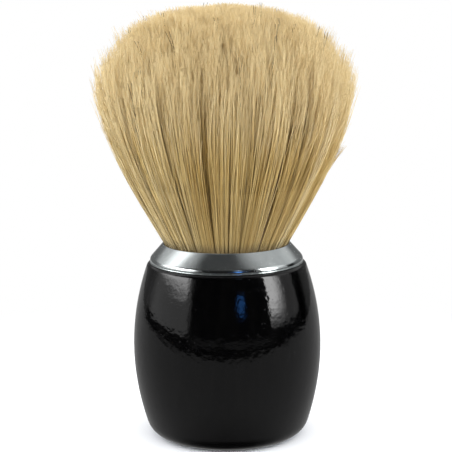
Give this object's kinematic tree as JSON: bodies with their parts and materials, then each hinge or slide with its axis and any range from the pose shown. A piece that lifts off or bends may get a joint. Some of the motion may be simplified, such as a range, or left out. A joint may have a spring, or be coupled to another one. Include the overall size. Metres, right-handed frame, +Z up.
{
  "type": "shaving brush",
  "caption": "Barber's shaving brush with a black barrel handle, a bright metal collar and a wide domed fan of natural bristle.",
  "frame": {"origin": "centre of the flat foot that the brush stands on", "axes": "+Z up along the brush, from the foot to the bristle tips; the brush is round about Z"},
  "size_m": [0.059, 0.059, 0.0973],
  "materials": {
    "black_lacquer": "gloss",
    "polished_aluminium": "polished",
    "adhesive": "satin",
    "cup_plastic": "satin",
    "resin": "gloss",
    "bristle_roots": "satin",
    "cord": "matte",
    "bristle": "satin"
  },
  "bodies": {
    "handle_assembly": {"handle": "black_lacquer", "collar": "polished_aluminium", "socket_adhesive": "adhesive", "knot_cup": "cup_plastic", "resin_plug": "resin", "root_bundle": "bristle_roots", "binding_cord": "cord"},
    "tuft_waist": {"bristle_waist": "bristle"},
    "tuft_fan": {"bristle_fan": "bristle"}
  },
  "joints": [
    {"name": "bend_sideways", "type": "hinge", "parent": "handle_assembly", "child": "tuft_waist", "pos_m": [0, 0, 0.05], "axis": [0, 1, 0], "range_deg": [-20, 20], "stiffness_Nm_per_rad": 0.14, "deforming": ["bristle_waist"]},
    {"name": "bend_fore_aft", "type": "hinge", "parent": "tuft_waist", "child": "tuft_fan", "pos_m": [0, 0, 0.062], "axis": [1, 0, 0], "range_deg": [-25, 25], "stiffness_Nm_per_rad": 0.09}
  ]
}
